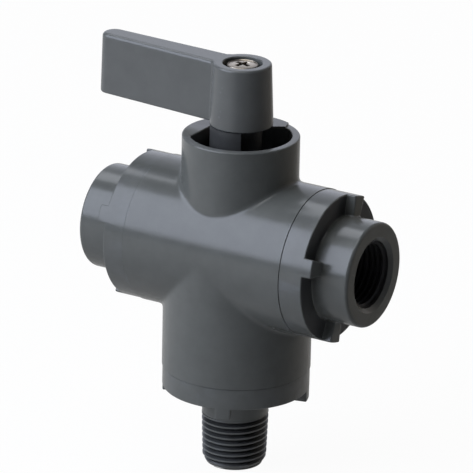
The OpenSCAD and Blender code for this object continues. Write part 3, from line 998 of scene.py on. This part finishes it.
# %% Bottom connector
BOTTOM_RING_W = 3.3
BOTTOM_LUG_TURN = -21
BOTTOM_LUG_H = 1.65
BOTTOM_LUG_L = 2.6
BOTTOM_STEPS = 172
BOTTOM_LUG_HALF_ANGLE = 6.3
BOTTOM_NOSE_GAP = 0.2
NECK_R = 5.1
NECK_L = 4.5
NECK_DRAFT = 0.1
NECK_ROUND = 0.2
CREST_R = 5.14
THREAD_DEPTH = 0.72
CREST_MARGIN = 0.03
RUN_IN = (0.1, 0.3)
RIDGE_TRIM = (0.2, 0.05)
ROOT_DROP = 0.25
TIP_L = 0.4
TIP_STEP = 0.35
LEAD_L = 1.6
LEAD_R = 4.25
ring_face = barrel_end + BOTTOM_RING_W
thread_start = ring_face + NECK_L
root_r = CREST_R - THREAD_DEPTH


def crest_at(depth):
    """The crest's radius at a depth below the thread's start."""
    return CREST_R - max(depth, 0) * TAPER / 2


def in_thread_or_neck(p):
    """True on the neck and between the thread's crests."""
    recessed = math.hypot(p.x, p.y) < crest_at(axis_h - p.z - thread_start) - CREST_MARGIN
    return recessed and LEAD_L / 2 < p.z < axis_h - ring_face - MARGIN


outline = plug_outline(CHAMBER_R - BOTTOM_NOSE_GAP, barrel_end, ring_face)
outline += [(ring_r - BOTTOM_LUG_L, ring_face)]
outline += arc((NECK_R + NECK_DRAFT + NECK_ROUND, ring_face + NECK_ROUND), NECK_ROUND, 270, 180, 3)
outline += [(NECK_R, thread_start - RUN_IN[0]), (root_r, thread_start + RUN_IN[1])]
outline += [(root_r - ROOT_DROP, axis_h - TIP_L), (LEAD_R - TIP_STEP, axis_h), (WAY_R, axis_h)]
nipple = lathe(outline, BOTTOM_STEPS)
raise_lugs(nipple, ring_face, ring_r - BOTTOM_LUG_L, BOTTOM_LUG_HALF_ANGLE, BOTTOM_LUG_H, against_hub=False)
turn(nipple, BOTTOM_LUG_TURN)
ridge = thread_ridge(root_r, CREST_R, thread_start - RIDGE_TRIM[0], axis_h - RIDGE_TRIM[1])
for v in ridge.verts:
    radius = math.hypot(v.co.x, v.co.y) / MM
    lead = LEAD_R + (axis_h - v.co.z / MM) * (CREST_R - LEAD_R) / LEAD_L
    limit = min(crest_at(v.co.z / MM - thread_start), lead)
    if radius > limit:
        bmesh.ops.scale(ridge, vec=(limit / radius, limit / radius, 1), verts=[v])
add_mesh(nipple, ridge)
bottom_connector = to_object(place(nipple, TO_BOTTOM), "bottom_connector_moulding")
# The neck and the thread's grooves take the recess finish: painted shade.
finish_faces(bottom_connector, 1, in_thread_or_neck)
hand_over(
    bottom_connector, "valve_body", ["grey_pvc", "recess_painted_shade"], "bottom_end_connector")

# %% [markdown]
# The handle is one moulding as well: a wedge-shaped blade, a tapered hub and a skirt. The blade is a box
# whose edges are rounded by bevels of their own sizes, and a web fills the corners beside the hub.

# %% Handle shapes
LEVER_TURN = 176
LEVER_L = 26.0
BLADE_H = 9.55
BLADE_ROOT_W = 4.9
BLADE_TIP_W = 3.7
TIP_DRAFT = 0.25
NOSE_FLAT = 0.04
EDGE_ROUND = 0.6
FOOT_BREAK = 0.15
ROOT_ROUND = 0.35
ROOT_OVERLAP = 0.1
WEB_ROUND = 0.3
HUB_FOOT_R = 4.85
HUB_TOP_R = 4.45
HUB_TOP_ROUND = 0.3
SKIRT_R = 4.75
STOP_LUG = (7.3, 1.8, 2.2)
STOP_LUG_TURN = -135
HANDLE_VOXEL = 0.13
lever_foot = lever_top - BLADE_H


def block(low, high):
    """A box between two corners."""
    bm = bmesh.new()
    middle = [(a + b) / 2 * MM for a, b in zip(low, high)]
    size = [(b - a) * MM for a, b in zip(low, high)]
    bmesh.ops.create_cube(bm, size=1, matrix=Matrix.Translation(middle) @ Matrix.Diagonal((*size, 1)))
    return bm


def round_edges(bm, edges, width, segments):
    """Rounds the given edges by a bevel."""
    bmesh.ops.bevel(
        bm, geom=edges, offset=width * MM, segments=segments, profile=0.5, affect="EDGES",
        material=-1, clamp_overlap=True,
    )
    bm.normal_update()


def blade():
    """The wedge-shaped blade along +X, from the hub's axis to its full round nose."""
    bm = block((0, -BLADE_ROOT_W / 2, lever_foot), (LEVER_L, BLADE_ROOT_W / 2, lever_top))
    tip = [v for v in bm.verts if v.co.x > 0.5 * LEVER_L * MM]
    bmesh.ops.scale(bm, verts=tip, vec=(1, BLADE_TIP_W / BLADE_ROOT_W, 1))
    tip_top = [v for v in tip if v.co.z / MM > lever_top - MARGIN]
    bmesh.ops.translate(bm, verts=tip_top, vec=(-TIP_DRAFT * MM, 0, 0))
    upright = [
        e for e in bm.edges
        if abs(e.verts[0].co.z - e.verts[1].co.z) > BLADE_H / 2 * MM and e.verts[0] in tip]
    round_edges(bm, upright, BLADE_TIP_W / 2 - NOSE_FLAT, 10)
    for height, width, steps in ((lever_top, EDGE_ROUND, 5), (lever_foot, FOOT_BREAK, 1)):
        level = [
            e for e in bm.edges
            if all(abs(v.co.z / MM - height) < NEAR for v in e.verts) and max(v.co.x for v in e.verts) > MM]
        round_edges(bm, level, width, steps)
    return bm


def blade_root():
    """The web that fills the corners between the blade and the hub with concave rounds."""
    centre_y = BLADE_ROOT_W / 2 - ROOT_OVERLAP + ROOT_ROUND
    centre_x = math.sqrt((HUB_TOP_R + ROOT_OVERLAP + ROOT_ROUND) ** 2 - centre_y ** 2)
    start = 180 + math.degrees(math.atan2(centre_y, centre_x))
    upper = arc((centre_x, centre_y), ROOT_ROUND, start, 270, 8)
    outline = [(0, 0)] + [(x, -y) for x, y in upper] + upper[::-1]
    bm = bmesh.new()
    face = bm.faces.new([bm.verts.new((x * MM, y * MM, (lever_foot + FOOT_BREAK) * MM)) for x, y in outline])
    raised = bmesh.ops.extrude_face_region(bm, geom=[face])
    top = [g for g in raised["geom"] if isinstance(g, bmesh.types.BMVert)]
    bmesh.ops.translate(bm, verts=top, vec=(0, 0, (BLADE_H - FOOT_BREAK) * MM))
    bmesh.ops.recalc_face_normals(bm, faces=bm.faces)
    edges = [
        e for e in bm.edges
        if all(v in top and v.co.x > MM for v in e.verts) and abs(e.verts[0].co.y - e.verts[1].co.y) < MM]
    round_edges(bm, edges, WEB_ROUND, 3)
    return bm


def handle_hub():
    """The tapered hub with its rounded top."""
    top = arc((HUB_TOP_R - HUB_TOP_ROUND, lever_top - HUB_TOP_ROUND), HUB_TOP_ROUND, 0, 90, 4)
    return lathe([(0, lever_foot), (HUB_FOOT_R, lever_foot)] + top + [(0, lever_top)])


def stop_lug():
    """The lug at the skirt's foot that meets the pocket's stop walls."""
    length, width, height = STOP_LUG
    bm = block((0, -width / 2, skirt_foot), (length, width / 2, skirt_foot + height))
    return turn(bm, STOP_LUG_TURN)


print(f"lever: foot at {lever_foot:.2f}, top at {lever_top:.2f}")

# %% [markdown]
# A voxel remesh melts the shapes into one skin, and one round of smoothing softens the blade's root.

# %% Handle skin
WEB_NEAR = 2
WEB_HALF_W = 4.2
WEB_REACH = 7
WEB_LOW = 0.2


def near_blade_root(p):
    """True where the blade's web runs into the hub."""
    beside_hub = p.x > WEB_NEAR and abs(p.y) < WEB_HALF_W and math.hypot(p.x, p.y) < WEB_REACH
    return beside_hub and p.z > lever_foot + WEB_LOW


handle_mesh = blade()
for shape in (handle_hub(), tube(SKIRT_R, skirt_foot, lever_foot + SPARE), blade_root(), stop_lug()):
    add_mesh(handle_mesh, shape)
handle = melt(to_object(handle_mesh, "lever_handle"), HANDLE_VOXEL)
print("blade root vertices:", smooth_near(handle, near_blade_root, 1))
smooth_near(handle, lambda p: True, SKIN_ROUNDS)

# %% [markdown]
# The cuts follow: a fine line between hub and skirt, the skirt's relief on the right, the screw's
# counterbore, the flatted hole for the stem and the screw's own hole. The relief is the dark side that
# the photograph shows in the pocket. At the end the handle is turned to the photograph's pose.

# %% Handle cuts
LINE_DEPTH = 0.12
LINE_SPAN = (0.14, 0.02)
RELIEF_R = 3.3
RELIEF_START = 125
RELIEF_TOP_GAP = 0.08
COUNTERBORE_R = 3.0
COUNTERBORE_DEPTH = 1.9
SHANK_L = 12.6
SHANK_R = 2.45
SHANK_HALF_FLATS = 1.75
SHANK_GAP = 0.05
SCREW_HOLE_R = 1.3
SKIRT_TRIM = 0.03
head_seat = lever_top - COUNTERBORE_DEPTH


def washer(inner_r, outer_r, low, high):
    """A flat turned ring."""
    return lathe([(inner_r, low), (outer_r, low), (outer_r, high), (inner_r, high)])


def skirt_relief():
    """The quarter that is cut from the skirt beside the flatted shank."""
    bm = washer(RELIEF_R, SKIRT_R + SPARE, skirt_foot - SPARE, lever_foot - RELIEF_TOP_GAP)
    for angle in (RELIEF_START - 90, RELIEF_START + 180):
        slice_off(bm, (0, 0, 0), (math.cos(math.radians(angle)), math.sin(math.radians(angle)), 0))
    return bm


def shank_hole():
    """The hole for the stem's shank, with its two flats."""
    bm = tube(SHANK_R, skirt_foot - SPARE, skirt_foot + SHANK_L + SHANK_GAP)
    for side in (1, -1):
        slice_off(bm, (0, side * SHANK_HALF_FLATS, 0), (0, side, 0))
    return bm


line_low, line_high = (lever_foot - below for below in LINE_SPAN)
cut_out(handle, washer(SKIRT_R - LINE_DEPTH, HUB_FOOT_R + SPARE, line_low, line_high))
cut_out(handle, skirt_relief(), "EXACT")
cut_out(handle, lathe([
    (0, head_seat), (COUNTERBORE_R, head_seat), (COUNTERBORE_R, lever_top - EDGE_BREAK),
    (COUNTERBORE_R + EDGE_BREAK + SPARE, lever_top + SPARE), (0, lever_top + SPARE),
]))
cut_out(handle, shank_hole())
cut_out(handle, tube(SCREW_HOLE_R, skirt_foot + SHANK_L - SPARE, lever_top))
handle.data.transform(Matrix.Rotation(math.radians(LEVER_TURN), 4, "Z"))
# The skirt below the hub takes the recess finish: painted shade.
finish_faces(handle, 1, lambda p: p.z < lever_foot - SKIRT_TRIM)
hand_over(handle, "lever_and_ball", ["handle_pvc", "recess_painted_shade"], "handle")

# %% [markdown]
# The screw's head is a low dome with a rounded edge. Its cross recess is cut by two tapered bars, which
# are narrower and shorter at their foot.

# %% Handle screw
HEAD_R = 2.4
HEAD_H = 1.75
HEAD_SIDE = 1.5
HEAD_ROUND = 0.25
HEAD_ROUND_DROP = 0.05
SCREW_R = 1.25
SCREW_L = 9.0
SCREW_TIP = 0.6
SCREW_POINT = 0.6
SCREW_STEPS = 96
CROSS_TURN = -14
CROSS_ARM = 1.5
CROSS_W = 0.8
CROSS_DEPTH = 1.2
CROSS_OVER = 0.2
CROSS_FOOT = (0.35, 0.6, 1)
dome_rise = HEAD_H - HEAD_SIDE
dome_r = (HEAD_R ** 2 + dome_rise ** 2) / (2 * dome_rise)
dome_angle = math.degrees(math.asin((HEAD_R - HEAD_ROUND) / dome_r))


def cross_arm(angle):
    """One tapered bar of the cross recess."""
    bm = bmesh.new()
    top = head_seat + HEAD_H + CROSS_OVER
    depth = CROSS_DEPTH + CROSS_OVER
    middle = Matrix.Translation((0, 0, (top - depth / 2) * MM))
    size = Matrix.Diagonal((2 * CROSS_ARM * MM, CROSS_W * MM, depth * MM, 1))
    bmesh.ops.create_cube(bm, size=1, matrix=middle @ size)
    foot = [v for v in bm.verts if v.co.z / MM < top - depth / 2]
    bmesh.ops.scale(bm, verts=foot, vec=CROSS_FOOT)
    return turn(bm, angle)


screw_end = head_seat - SCREW_L
screw_outline = [(0, screw_end), (SCREW_R * SCREW_POINT, screw_end), (SCREW_R, screw_end + SCREW_TIP)]
screw_outline += [(SCREW_R, head_seat), (HEAD_R, head_seat)]
screw_outline += arc((HEAD_R - HEAD_ROUND, head_seat + HEAD_SIDE - HEAD_ROUND_DROP), HEAD_ROUND, 0, 60, 3)
screw_outline += arc((0, head_seat + HEAD_H - dome_r), dome_r, 90 - dome_angle, 90, 10)
screw = to_object(lathe(screw_outline, SCREW_STEPS), "handle_screw_head")
for angle in (CROSS_TURN, CROSS_TURN + 90):
    cut_out(screw, cross_arm(angle), "EXACT")
hand_over(screw, "lever_and_ball", ["screw_steel"], "handle_screw")

# %% [markdown]
# The inner pieces stay as the CAD made them, because their shapes are already exact. They only need
# their finishes: polished plastic for the ball and stem, waxy seats and black rubber rings.

# %% Inner pieces
INNER_FINISHES = {"ball_plastic": "ball_pvc", "seat_plastic": "seat_ptfe", "seal_rubber": "seal_rubber"}
dressed = 0
for row in frame["record"]["subparts"]:
    if row["material_slot"] in INNER_FINISHES:
        node = frame["nodes"][row["node"]]
        node.data.materials.clear()
        node.data.materials.append(materials[INNER_FINISHES[row["material_slot"]]])
        dressed += 1
print("inner pieces dressed:", dressed)
